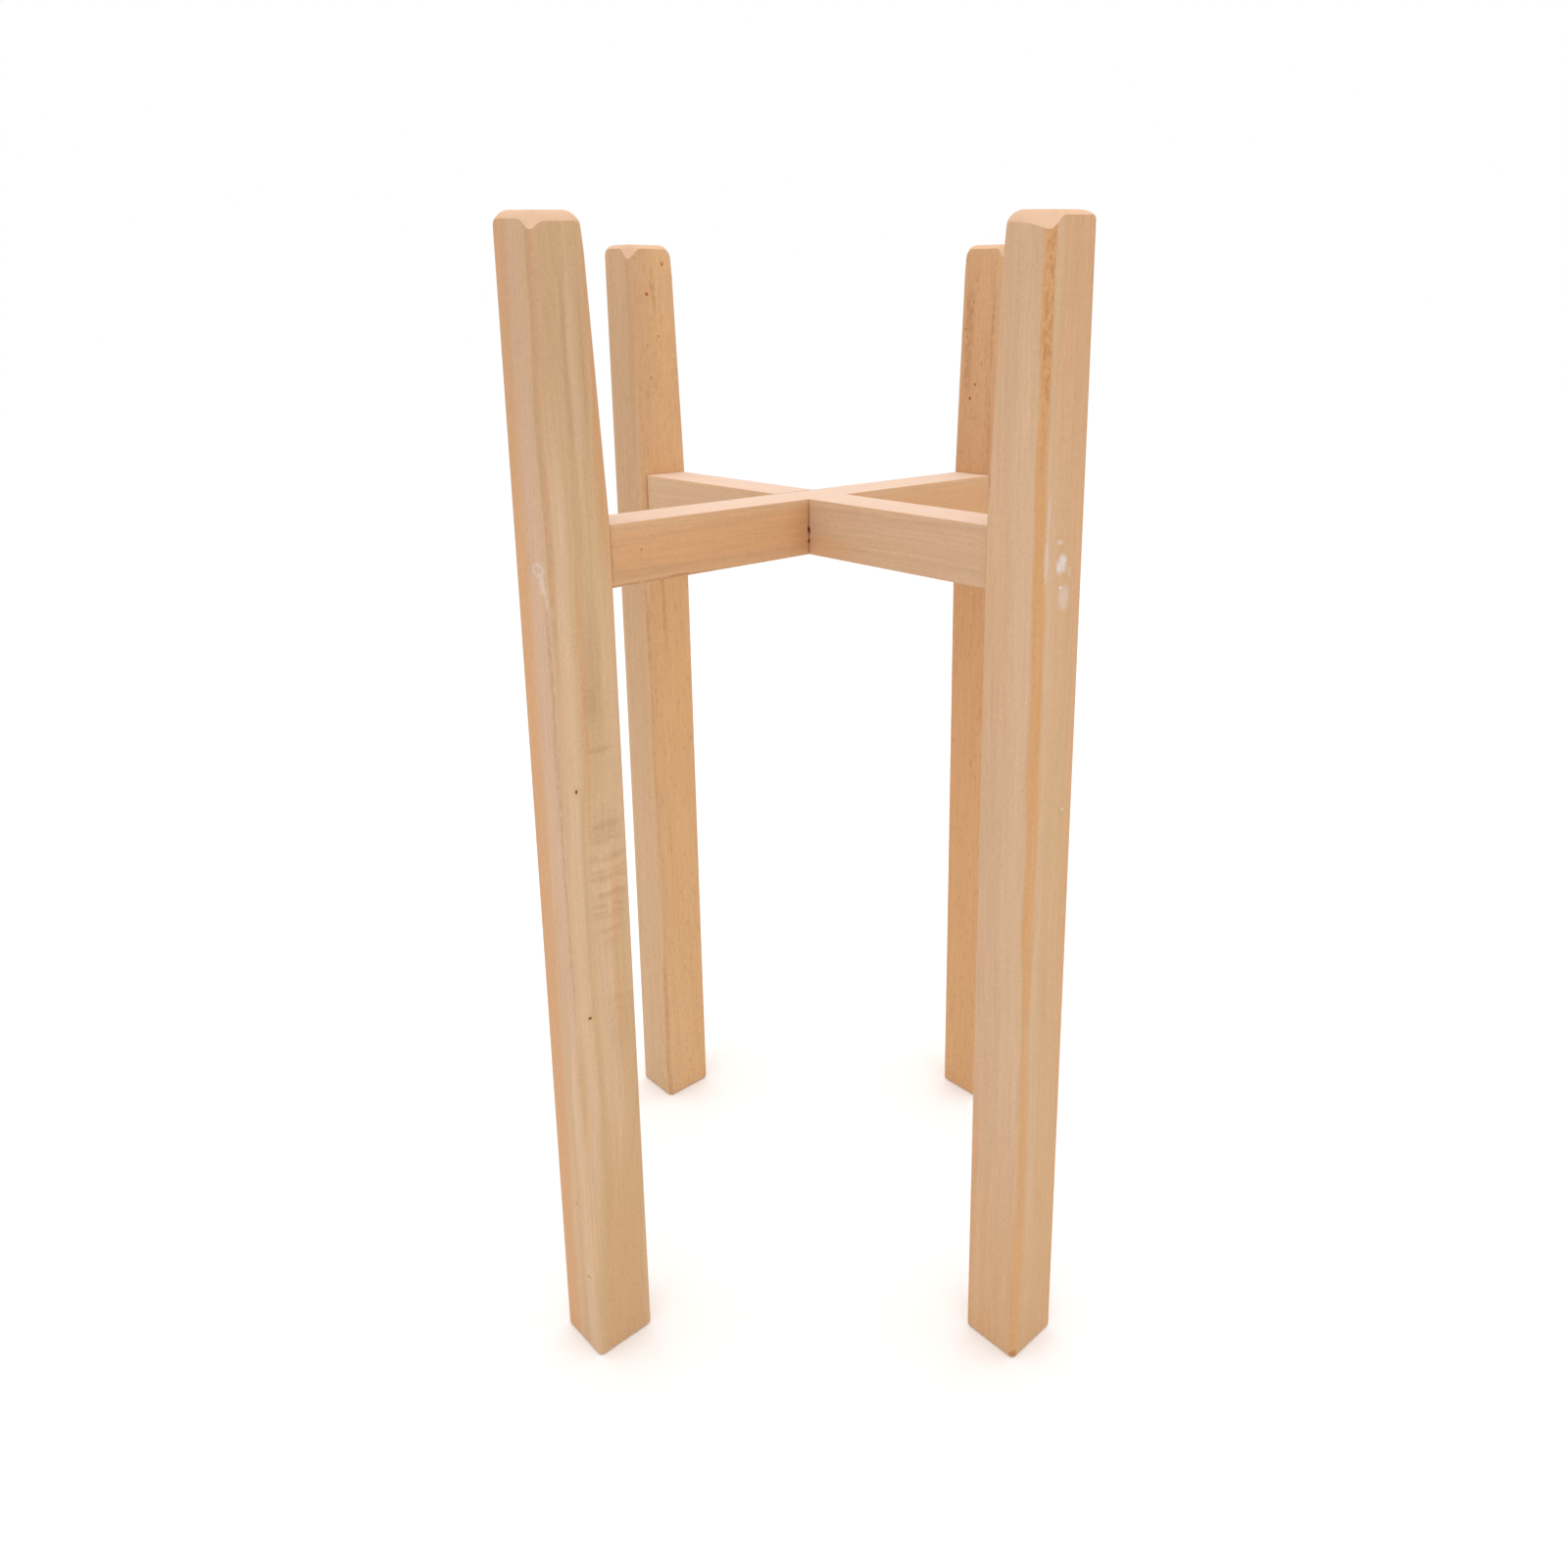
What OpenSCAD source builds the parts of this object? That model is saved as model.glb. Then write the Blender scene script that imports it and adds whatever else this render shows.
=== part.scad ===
// Wooden plant stand: four square legs round a half-lapped cross of two rails.
// The pot stands on the cross, between the upper ends of the legs.
// Millimetres, +Z up, origin on the floor under the middle of the cross.

/* [Stand] */
// Height of the legs
stand_h = 675; // [560:5:900]
// Clear width between two facing legs, which takes the pot
inside_w = 320; // [220:5:420]
// How far the legs stand above the rails
leg_above = 162; // [80:1:300]

/* [Legs] */
// Width and depth of a leg, from the floor to the rails
leg_w = 38; // [34:1:50]
// Depth of a leg at its top, where its inner face has tapered in
leg_top_t = 30; // [24:1:34]
// Chamfer along a leg's long edges
leg_edge = 3; // [1:0.5:4]
// Radius of the sanded crown round a leg's top
crown_r = 10; // [6:1:12]
// How far down each long edge the corner facets of the crown reach
corner_drop = 10.5; // [8:0.5:14]
// Chamfer round a leg's foot
foot_edge = 1.5; // [0.5:0.5:3]

/* [Rails] */
// Thickness of a rail
rail_t = 32; // [28:1:34]
// Height of a rail
rail_h = 35; // [32:1:60]
// Chamfer along a rail's long edges
rail_edge = 1; // [0.5:0.5:2]
// Side clearance of the half-lap joint where the rails cross
lap_gap = 0.4; // [0.1:0.1:0.6]

/* [Fixings] */
// Length of the screw through each leg
screw_len = 80; // [60:5:100]
// Length of the screw's thread
thread_len = 45; // [30:5:50]
// Outside diameter of the thread
screw_d = 4.5; // [4:0.5:5.5]
// Diameter of the screw's countersunk head
head_d = 8; // [7:0.5:8]
// How deep the screw's head lies below the leg's outer face
head_sink = 5; // [3:0.5:8]
// Diameter of the filler over the screw's head
filler_d = 8.4; // [8.2:0.1:12]
// Diameter of a dowel between leg and rail
dowel_d = 8; // [5:1:9]
// Length of a dowel
dowel_len = 40; // [30:5:60]
// How far a dowel lies above or below the screw
dowel_off = 10; // [9:0.5:11]
// Clearance round a screw, a dowel or a filler in its hole
fit_gap = 0.1; // [0.05:0.05:0.3]

/* [Hidden] */
$fn = 48;
CORNERS = ["front_right", "back_right", "back_left", "front_left"];
RAILS = ["under_rail", "over_rail"];

quarter_turn = 90;
past = 1;                                    // how far a cut runs past the wood
rail_top = stand_h - leg_above;
rail_mid = rail_top - rail_h / 2;
leg_taper = leg_w - leg_top_t;               // how far the inner face leans out at the top
taper_angle = atan2(leg_taper, leg_above);
crown_from = 30;                             // angle at which the crown breaks from a leg's face
crown_in = crown_r * cos(crown_from);
facet_tilt = 50;                             // slope of the crown's corner facets
shank_d = 3.3;
root_d = 2.9;
thread_pitch = 2.5;
tip_len = 7;
recess = [4.2, 1, 1.5];                      // length, width and depth of the head's cross recess
dowel_edge = 1;
hole_spare = 1;                              // a blind hole is this much deeper than what it holds
screw_reach = screw_len + head_sink - leg_w; // how far the screw goes into the rail

leg_color = [0.82, 0.68, 0.55];
rail_color = [0.84, 0.69, 0.53];
dowel_color = [0.86, 0.74, 0.56];
filler_color = [0.93, 0.9, 0.86];
screw_color = [0.78, 0.74, 0.6];

// The crown's arc at one upper corner of an outline: its side is at x = side, and inward is -1 or 1
function crown_arc(side, inward) = [
    for (a = [crown_from : 15 : 90])
        [side + inward * (crown_in - crown_r * cos(a)), stand_h - crown_r + crown_r * sin(a)]
];

function reversed(points) = [for (i = [len(points) - 1 : -1 : 0]) points[i]];

// A leg seen along its rail's side: x = 0 is the inner face, z is up
leg_side_outline = [
    [foot_edge, 0],
    [leg_w - foot_edge, 0],
    [leg_w, foot_edge],
    each crown_arc(leg_w, -1),
    each reversed(crown_arc(leg_taper, 1)),
    [0, rail_top],
    [0, foot_edge]
];

// A leg seen from outside, along its screw
leg_face_outline = [
    [foot_edge - leg_w / 2, 0],
    [leg_w / 2 - foot_edge, 0],
    [leg_w / 2, foot_edge],
    each crown_arc(leg_w / 2, -1),
    each reversed(crown_arc(-leg_w / 2, 1)),
    [-leg_w / 2, foot_edge]
];

// A rail's section, centred on its axis
rail_outline = let (x = rail_t / 2, z = rail_h / 2, c = rail_edge) [
    [x, z - c], [x - c, z], [c - x, z], [-x, z - c],
    [-x, c - z], [c - x, -z], [x - c, -z], [x, c - z]
];

// A leg stands outside the plane x = 0, which touches its rail's end
module leg() {
    color(leg_color) difference() {
        intersection() {
            rotate([90, 0, 0]) linear_extrude(leg_w, center = true) polygon(leg_side_outline);
            rotate([90, 0, 90]) linear_extrude(leg_w) polygon(leg_face_outline);
        }
        for (side = [-1, 1]) {
            outer_edge_cut(side);
            lower_inner_edge_cut(side);
            upper_inner_edge_cut(side);
            corner_facet_cut(leg_w, side, -1);
            corner_facet_cut(leg_taper, side, 1);
        }
        screw_hole_in_leg();
        dowel_holes(dowel_len / 2 + hole_spare, 1);
    }
}

// A square bar standing on its edge, whose corner takes a chamfer off along z
module edge_bar(length) {
    rotate([0, 0, 45]) translate([0, 0, length / 2])
        cube([leg_edge * sqrt(2), leg_edge * sqrt(2), length], center = true);
}

module outer_edge_cut(side) {
    translate([leg_w, side * leg_w / 2, -past]) edge_bar(stand_h + 2 * past);
}

module lower_inner_edge_cut(side) {
    translate([0, side * leg_w / 2, -past]) edge_bar(rail_top + past);
}

module upper_inner_edge_cut(side) {
    translate([0, side * leg_w / 2, rail_top]) rotate([0, taper_angle, 0])
        edge_bar(leg_above / cos(taper_angle) + past);
}

// The half space above one corner facet of the crown
module corner_facet_cut(x, side, inward) {
    band = leg_edge / 2;
    translate([x + inward * band, side * (leg_w / 2 - band), stand_h - corner_drop])
        rotate([0, 0, atan2(-side, inward)]) rotate([0, -facet_tilt, 0])
            translate([-leg_w, -leg_w, 0]) cube([2 * leg_w, 2 * leg_w, leg_w]);
}

// Seen from the leg's outer face: the filler's bore, the countersink and the screw's clearance hole
module screw_hole_in_leg() {
    cone_h = (head_d - screw_d) / 2;
    translate([-past, 0, rail_mid]) rotate([0, 90, 0])
        cylinder(d = screw_d + 2 * fit_gap, h = leg_w);
    translate([leg_w - head_sink - cone_h, 0, rail_mid]) rotate([0, 90, 0])
        cylinder(d1 = screw_d + 2 * fit_gap, d2 = head_d + 2 * fit_gap, h = cone_h);
    translate([leg_w - head_sink, 0, rail_mid]) rotate([0, 90, 0])
        cylinder(d = filler_d + 2 * fit_gap, h = head_sink + past);
}

// The pair of blind dowel holes in the plane x = 0, going along +X or -X
module dowel_holes(depth, toward) {
    for (level = [-1, 1])
        translate([0, 0, rail_mid + level * dowel_off])
            rotate([0, toward * 90, 0]) translate([0, 0, -past])
                cylinder(d = dowel_d + 2 * fit_gap, h = depth + past);
}

// A rail along X with a notch for the other rail: above its middle (1) or below it (-1)
module rail(notch) {
    color(rail_color) difference() {
        translate([0, 0, rail_mid]) rotate([90, 0, 90])
            linear_extrude(inside_w, center = true) polygon(rail_outline);
        translate([0, 0, rail_mid + notch * rail_h / 2])
            cube([rail_t + 2 * lap_gap, rail_t + 2 * past, rail_h], center = true);
        for (turn = [0, 180]) rotate([0, 0, turn]) translate([inside_w / 2, 0, 0]) {
            dowel_holes(dowel_len / 2 + hole_spare, -1);
            translate([-screw_reach - hole_spare, 0, rail_mid]) rotate([0, 90, 0])
                cylinder(d = screw_d + 2 * fit_gap, h = screw_reach + hole_spare + past);
        }
    }
}

// Half of the screw's outline: its head at z = 0, its tip below
screw_outline = [
    [0, 0],
    [head_d / 2, 0],
    [shank_d / 2, -(head_d - shank_d) / 2],
    [shank_d / 2, thread_len - screw_len],
    for (z = [thread_len - screw_len : -thread_pitch : tip_len + thread_pitch - screw_len])
        each [
            [root_d / 2, z - thread_pitch / 4],
            [screw_d / 2, z - thread_pitch / 2],
            [root_d / 2, z - thread_pitch * 3 / 4]
        ],
    [root_d / 2, tip_len - screw_len],
    [0, -screw_len]
];

module screw() {
    color(screw_color) translate([leg_w - head_sink, 0, rail_mid]) rotate([0, 90, 0]) difference() {
        rotate_extrude() polygon(screw_outline);
        for (turn = [0, quarter_turn]) rotate([0, 0, turn])
            cube([recess[0], recess[1], 2 * recess[2]], center = true);
    }
}

module filler() {
    color(filler_color) translate([leg_w - head_sink, 0, rail_mid]) rotate([0, 90, 0])
        cylinder(d = filler_d, h = head_sink);
}

dowel_outline = [
    [0, -dowel_len / 2],
    [dowel_d / 2 - dowel_edge, -dowel_len / 2],
    [dowel_d / 2, dowel_edge - dowel_len / 2],
    [dowel_d / 2, dowel_len / 2 - dowel_edge],
    [dowel_d / 2 - dowel_edge, dowel_len / 2],
    [0, dowel_len / 2]
];

// A dowel halfway in the leg and halfway in the rail, below (-1) or above (1) the screw
module dowel(level) {
    color(dowel_color) translate([0, 0, rail_mid + level * dowel_off])
        rotate([0, 90, 0]) rotate_extrude() polygon(dowel_outline);
}

// Places a piece at one of the four ends of the cross
module at_corner(i) {
    rotate([0, 0, i * quarter_turn]) translate([inside_w / 2, 0, 0]) children();
}

for (i = [0 : len(CORNERS) - 1]) {
    at_corner(i) leg();
    at_corner(i) screw();
    at_corner(i) filler();
    at_corner(i) dowel(-1);
    at_corner(i) dowel(1);
}
rail(1);
rotate([0, 0, quarter_turn]) rail(-1);
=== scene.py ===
"""A wooden plant stand: four upright legs round a half-lapped cross of two rails.

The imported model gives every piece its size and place. This script builds the legs, the rails and the
fillers again with their sanded and sawn shapes, gives each piece its finish, and sets up the studio.
Lengths are in metres, or in millimetres where a docstring or a comment says so.
"""

from __future__ import annotations

import logging
import math
from dataclasses import dataclass
from enum import Enum
from functools import cached_property
from typing import Any, Iterable, Mapping, Sequence, Union

import bmesh
import bpy
from mathutils import Color, Matrix, Vector, noise

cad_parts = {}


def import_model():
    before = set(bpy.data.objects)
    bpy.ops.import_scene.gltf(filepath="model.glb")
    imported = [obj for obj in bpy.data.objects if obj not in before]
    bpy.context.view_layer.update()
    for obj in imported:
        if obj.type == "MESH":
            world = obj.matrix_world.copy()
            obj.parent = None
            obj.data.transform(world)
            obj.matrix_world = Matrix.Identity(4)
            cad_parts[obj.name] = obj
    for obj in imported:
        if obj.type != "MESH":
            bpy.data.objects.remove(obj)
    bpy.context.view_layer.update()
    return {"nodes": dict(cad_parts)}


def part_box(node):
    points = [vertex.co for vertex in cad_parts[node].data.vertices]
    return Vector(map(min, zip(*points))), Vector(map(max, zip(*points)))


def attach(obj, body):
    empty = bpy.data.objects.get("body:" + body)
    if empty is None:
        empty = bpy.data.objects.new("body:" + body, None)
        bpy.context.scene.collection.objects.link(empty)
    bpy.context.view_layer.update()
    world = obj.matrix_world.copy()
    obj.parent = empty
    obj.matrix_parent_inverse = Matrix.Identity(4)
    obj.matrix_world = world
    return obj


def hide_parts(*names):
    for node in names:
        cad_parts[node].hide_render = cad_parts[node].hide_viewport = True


MM = 0.001
WELD = 0.001 * MM  # points nearer than this become one
SLACK = 0.1 * MM  # what lies this near a level counts as on it
ROUND_SIDES = 48
ROOT = "root"
LOG = logging.getLogger("plant_stand")

# Places in the stand that the wood's marks and worn edges go by, in millimetres.
FOOT, TOP = -60.0, 720.0  # past both ends of a leg
END = 170.0  # past the end of a rail
RAIL_MIDDLE, RAIL_TOP = 495.5, 513.0
TAPER = 8.0 / 162.0  # how far a leg's inner face leans out for each millimetre above the rails
LEG_SIDES, LEG_INNER, LEG_OUTER = (15.8, 18.4), (163.0, 160.6), (194.8, 197.4)
RAIL_SIDES, RAIL_FACES = (14.4, 15.6), (16.0, 17.2)

Colour = tuple[float, float, float, float]
Point = tuple[float, float, float]
Socket = bpy.types.NodeSocket
Material = bpy.types.Material
Mesh = bmesh.types.BMesh
UP: Point = (0.0, 0.0, 1.0)


def paint(red: int, green: int, blue: int) -> Colour:
    """Turns a colour as a picture shows it, 0 to 255, into a shader's linear colour."""
    shown = Color((red / 255, green / 255, blue / 255))
    return (*shown.from_srgb_to_scene_linear(), 1.0)


def millimetres(point: Sequence[float]) -> Point:
    """Gives a point in millimetres as one in metres."""
    return (point[0] * MM, point[1] * MM, point[2] * MM)


@dataclass(frozen=True)
class Number:
    """A number that varies over a surface: one socket, used in Python expressions."""

    graph: Graph
    socket: Socket

    def __add__(self, other: Numeric) -> Number:
        """Gives self + other."""
        return self.graph.math("ADD", self, other)

    def __sub__(self, other: Numeric) -> Number:
        """Gives self - other."""
        return self.graph.math("SUBTRACT", self, other)

    def __rsub__(self, other: Numeric) -> Number:
        """Gives other - self."""
        return self.graph.math("SUBTRACT", other, self)

    def __mul__(self, other: Numeric) -> Number:
        """Gives self * other."""
        return self.graph.math("MULTIPLY", self, other)

    def __truediv__(self, other: Numeric) -> Number:
        """Gives self / other."""
        return self.graph.math("DIVIDE", self, other)

    __radd__ = __add__
    __rmul__ = __mul__


Numeric = Union[Number, float]


class Graph:
    """A node tree that is built from expressions."""

    def __init__(self, tree: bpy.types.NodeTree) -> None:
        """Empties the tree."""
        self.tree = tree
        tree.nodes.clear()

    def node(self, kind: str, inputs: Mapping[Any, Any] | None = None, **options: Any) -> bpy.types.Node:
        """Adds one node.

        Args:
            kind: The type of the node.
            inputs: The value or the link of each socket, by the socket's name or number.
            **options: The node's own options, which are set before its sockets.

        Returns:
            The new node.
        """
        node = self.tree.nodes.new(kind)
        for option, value in options.items():
            setattr(node, option, value)
        for key, value in (inputs or {}).items():
            source = value.socket if isinstance(value, Number) else value
            if isinstance(source, Socket):
                self.tree.links.new(source, node.inputs[key])
            else:
                node.inputs[key].default_value = source
        return node

    def math(self, operation: str, first: Numeric, second: Numeric = 0.0) -> Number:
        """Adds a Math node of two inputs."""
        node = self.node("ShaderNodeMath", {0: first, 1: second}, operation=operation)
        return Number(self, node.outputs[0])

    def gap(self, value: Numeric, middle: float) -> Number:
        """Gives how far a number is from another, without its sign."""
        return self.math("ABSOLUTE", value - middle)

    def rise(self, value: Numeric, start: float, end: float) -> Number:
        """Gives 0 before start, 1 after end and a smooth step between them; start may lie above end."""
        span = {"Value": value, "From Min": start, "From Max": end}
        return Number(self, self.node("ShaderNodeMapRange", span, interpolation_type="SMOOTHSTEP").outputs[0])

    def vector(self, operation: str, first: Any, second: Any = (0.0, 0.0, 0.0)) -> Socket:
        """Adds a Vector Math node of two vectors that gives a vector."""
        node = self.node("ShaderNodeVectorMath", {0: first, 1: second}, operation=operation)
        return node.outputs["Vector"]

    def scaled(self, vector: Any, factor: Numeric) -> Socket:
        """Multiplies a vector or a colour by one number."""
        fixed = vector[:3] if isinstance(vector, tuple) else vector
        return self.node("ShaderNodeVectorMath", {0: fixed, "Scale": factor}, operation="SCALE").outputs[0]

    def length(self, vector: Any) -> Number:
        """Gives the length of a vector."""
        node = self.node("ShaderNodeVectorMath", {0: vector}, operation="LENGTH")
        return Number(self, node.outputs["Value"])

    def along(self, vector: Any, axis: Point) -> Number:
        """Gives how far a vector reaches along an axis."""
        node = self.node("ShaderNodeVectorMath", {0: vector, 1: axis}, operation="DOT_PRODUCT")
        return Number(self, node.outputs["Value"])

    def blend(self, share: Numeric, under: Any, over: Any) -> Socket:
        """Lays a share, 0 to 1, of one colour over another."""
        return self.node("ShaderNodeMix", {0: share, 6: under, 7: over}, data_type="RGBA").outputs[2]

    def noise(self, place: Any, detail: float, roughness: float = 0.5) -> bpy.types.Node:
        """Adds a noise whose grain is one unit of the place that it is given."""
        inputs = {"Vector": place, "Scale": 1.0, "Detail": detail, "Roughness": roughness}
        return self.node("ShaderNodeTexNoise", inputs)

    def cloud(self, place: Any, scale: Point, detail: float, roughness: float = 0.5) -> Number:
        """Gives a noise as a number round 0.5, with so many grains to a metre along each axis."""
        return Number(self, self.noise(self.vector("MULTIPLY", place, scale), detail, roughness).outputs[0])

    def layers(self, depth: Numeric, seed: float) -> Number:
        """Gives a noise that changes with one number alone, as the rings of a tree do."""
        inputs = {"W": depth + seed, "Scale": 1.0, "Detail": 1.5, "Roughness": 0.55}
        return Number(self, self.node("ShaderNodeTexNoise", inputs, noise_dimensions="1D").outputs[0])


class Grain(Enum):
    """The way the grain of a piece runs."""

    UPRIGHT = (0.0, 0.0, 1.0)
    ALONG_X = (1.0, 0.0, 0.0)
    ALONG_Y = (0.0, 1.0, 0.0)

    def scale(self, across: float, along: float) -> Point:
        """Gives the scale of each axis for a pattern drawn out along the grain."""
        return tuple(along if axis else across for axis in self.value)

    def reading(self, point: Point) -> float:
        """Gives how far a point lies along the grain."""
        return sum(axis * value for axis, value in zip(self.value, point))


class Tone(Enum):
    """The tones of the woods, the filler and the screws."""

    BODY = paint(211, 172, 132)
    PALE = paint(221, 186, 151)
    ROSY = paint(212, 173, 143)
    WARM = paint(213, 161, 114)
    GOLD = paint(224, 177, 125)
    AMBER = paint(213, 158, 102)
    OLIVE = paint(204, 172, 127)
    DARK = paint(190, 148, 111)
    BROWN = paint(168, 110, 64)
    END = paint(222, 182, 150)
    # a chalky pale for smears of filler; the rails also lay it on their upward faces as a painted highlight
    CHALKY_AND_TOP_HIGHLIGHT = paint(227, 196, 174)
    KNOT = paint(116, 60, 30)
    RUST = paint(156, 80, 42)
    GAP = paint(92, 48, 26)
    DRY_FILLER = paint(228, 214, 206)
    FILLER = paint(208, 170, 138)
    ZINC = paint(201, 184, 128)
    DULL_ZINC = paint(176, 168, 150)


class Surface(Graph):
    """The graph of one material, which reads the piece's own place and lays one tone over another."""

    def __init__(self, name: str, ground: Tone) -> None:
        """Makes the material and its coordinates.

        Args:
            name: Its name.
            ground: Its lowest tone.
        """
        self.material = bpy.data.materials.new(name)
        self.material.use_nodes = True
        super().__init__(self.material.node_tree)
        coordinates = self.node("ShaderNodeTexCoord")
        self.place = coordinates.outputs["Object"]
        self.normal = coordinates.outputs["Normal"]
        self.colour: Any = ground.value

    def lay(self, share: Numeric, tone: Tone) -> None:
        """Lays a share of a tone over the colour so far."""
        self.colour = self.blend(share, self.colour, tone.value)

    def dim(self, factor: Numeric) -> None:
        """Multiplies the colour so far by a number."""
        self.colour = self.scaled(self.colour, factor)

    @cached_property
    def torn(self) -> Number:
        """The fine noise that breaks the outlines of marks."""
        return self.cloud(self.place, (800.0, 800.0, 500.0), 3.0, 0.6)

    def apart(self, at: Point, size: Point) -> Number:
        """Gives the distance from a point, where 1 is the surface of a ball with the given half sizes."""
        offset = self.vector("SUBTRACT", self.place, millimetres(at))
        return self.length(self.vector("MULTIPLY", offset, tuple(1.0 / (half * MM) for half in size)))

    def finish(
        self, roughness: Numeric, height: Numeric, relief: float, constants: Mapping[str, float]
    ) -> Material:
        """Ends the graph in a shader of the colour so far.

        Args:
            roughness: The roughness.
            height: The surface's height, 0 to 1.
            relief: How many millimetres a height of 1 stands up.
            constants: Other inputs of the shader, the same all over the surface.

        Returns:
            The material.
        """
        bump = self.node("ShaderNodeBump", {"Height": height, "Strength": 1.0, "Distance": relief * MM})
        inputs = {"Base Color": self.colour, "Roughness": roughness, "Normal": bump.outputs["Normal"]}
        shader = self.node("ShaderNodeBsdfPrincipled", {**inputs, **constants})
        self.node("ShaderNodeOutputMaterial", {"Surface": shader.outputs["BSDF"]})
        return self.material


class Board(Surface):
    """The graph of a piece of sawn wood, whose patterns follow its grain."""

    def __init__(self, name: str, ground: Tone, grain: Grain) -> None:
        """Makes the material and bends the place on the surface a little, as the grain wanders.

        Args:
            name: Its name.
            ground: Its lowest tone.
            grain: The way its grain runs.
        """
        super().__init__(name, ground)
        self.grain = grain
        soft = self.noise(self.stretched(self.place, 20.0, 6.0), 4.0, 0.55).outputs["Color"]
        centred = self.vector("SUBTRACT", soft, (0.5, 0.5, 0.5))
        self.wander = self.vector("ADD", self.place, self.stretched(centred, 12.0 * MM, 0.0))

    def stretched(self, vector: Any, across: float, along: float) -> Socket:
        """Scales a vector by one number across the grain and another along it."""
        return self.vector("MULTIPLY", vector, self.grain.scale(across, along))

    def pattern(self, across: float, along: float, detail: float, roughness: float = 0.5) -> Number:
        """Gives a noise that wanders with the grain, with so many grains to a metre each way."""
        return self.cloud(self.wander, self.grain.scale(across, along), detail, roughness)

    def beside(self, point: Point, lean: Point, along: Number) -> Number:
        """Gives the distance across the grain from a line that leans away from it. Millimetres.

        Args:
            point: A point on the line.
            lean: How far the line moves in one unit along the grain.
            along: How many units the surface lies along the grain from that point.

        Returns:
            The distance.
        """
        middle = self.vector("ADD", self.scaled(millimetres(lean), along), millimetres(point))
        return self.length(self.stretched(self.vector("SUBTRACT", self.wander, middle), 1.0 / MM, 0.0))


@dataclass(frozen=True)
class Streak:
    """A column of another tone inside the wood, from a low point to a high one. Millimetres."""

    low: Point
    high: Point
    radius: float
    tone: Tone
    strength: float
    fade: float
    speckle: float

    def lay(self, board: Board) -> None:
        """Lays the streak on a board.

        Args:
            board: The graph of the piece.
        """
        start, stop = board.grain.reading(self.low), board.grain.reading(self.high)
        along = board.along(board.place, board.grain.value) / MM
        lean = tuple((b - a) / (stop - start) for a, b in zip(self.low, self.high))
        beside = board.beside(self.low, lean, along - start)
        share = board.rise(beside, self.radius * 1.2, self.radius * 0.4)
        share = share * board.rise(along, start - self.fade / 2, start + self.fade / 2)
        share = share * board.rise(along, stop + self.fade / 2, stop - self.fade / 2)
        if self.speckle:
            dots = board.cloud(board.place, board.grain.scale(420.0, 190.0), 3.0, 0.65)
            share = share * (1.0 - board.rise(dots, 0.42, 0.62) * self.speckle)
        board.lay(share * self.strength, self.tone)


@dataclass(frozen=True)
class Mark:
    """A patch of another tone, with half sizes along X, Y and Z, such as a knot or filler. Millimetres."""

    at: Point
    size: Point
    tone: Tone
    strength: float
    ragged: float
    halo: float = 0.0
    hollow: float = 0.0

    def lay(self, surface: Surface) -> Number:
        """Lays the mark on a surface, and stained wood round it where it has a halo.

        Args:
            surface: The graph of the piece.

        Returns:
            How much of the mark's tone shows, 0 to 1.
        """
        apart = surface.apart(self.at, self.size)
        if self.halo:
            surface.lay(surface.rise(apart, 3.5, 0.9) * self.halo, Tone.AMBER)
        broken = apart + (surface.torn - 0.5) * (2.0 * self.ragged)
        inside = surface.rise(broken, 1.25, 0.55)
        if self.hollow:
            inside = inside * surface.rise(broken, self.hollow - 0.2, self.hollow + 0.1)
        cover = inside * self.strength
        surface.lay(cover, self.tone)
        return cover


@dataclass(frozen=True)
class Curl:
    """A patch where the fibres curl, which shows slanting ripples across the grain. Millimetres."""

    at: Point
    size: Point
    slant: Point
    strength: float
    spacing: float

    def lay(self, board: Board) -> None:
        """Lays the dark side of the ripples on a board.

        Args:
            board: The graph of the piece.
        """
        bend = board.cloud(board.place, board.grain.scale(60.0, 40.0), 2.0) * (8.0 * MM)
        level = board.along(board.place, self.slant) + bend
        ripple = board.layers(level / (self.spacing * MM), self.at[2])
        broken = board.cloud(board.place, board.grain.scale(110.0, 70.0), 3.0)
        line = board.rise(board.gap(ripple, 0.5), 0.16, 0.0) * board.rise(broken, 0.28, 0.52)
        inside = board.rise(board.apart(self.at, self.size), 1.0, 0.5)
        board.lay(inside * line * self.strength, Tone.DARK)


@dataclass(frozen=True)
class Face:
    """A face of a piece, or a plane in it, where a place lies so far across and along. Millimetres.

    The axes are named in this order: square to the face, across it and along it. A leaning face leaves
    its plane above the rails, by its lean for each millimetre.
    """

    axes: str
    plane: float
    lean: float = 0.0
    mark_depth: float = 3.0

    def ordered(self, square: float, across: float, along: float) -> Point:
        """Puts three measures in the order of X, Y and Z."""
        measures = dict(zip(self.axes, (square, across, along)))
        return (measures["x"], measures["y"], measures["z"])

    def point(self, across: float, along: float) -> Point:
        """Gives a place on the face as a point in the stand."""
        return self.ordered(self.plane + self.lean * max(0.0, along - RAIL_TOP), across, along)

    def streak(
        self, low: float, start: float, high: float, stop: float, radius: float, tone: Tone,
        strength: float, fade: float = 50.0, speckle: float = 0.0,
    ) -> Streak:
        """Gives a streak from one place, across and along, to another."""
        ends = (self.point(low, start), self.point(high, stop))
        return Streak(*ends, radius, tone, strength, fade, speckle)

    def mark(
        self, across: float, along: float, wide: float, high: float, tone: Tone,
        strength: float, ragged: float, halo: float = 0.0, hollow: float = 0.0,
    ) -> Mark:
        """Gives a mark with half sizes across and along the face."""
        size = self.ordered(self.mark_depth, wide, high)
        return Mark(self.point(across, along), size, tone, strength, ragged, halo, hollow)


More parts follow.
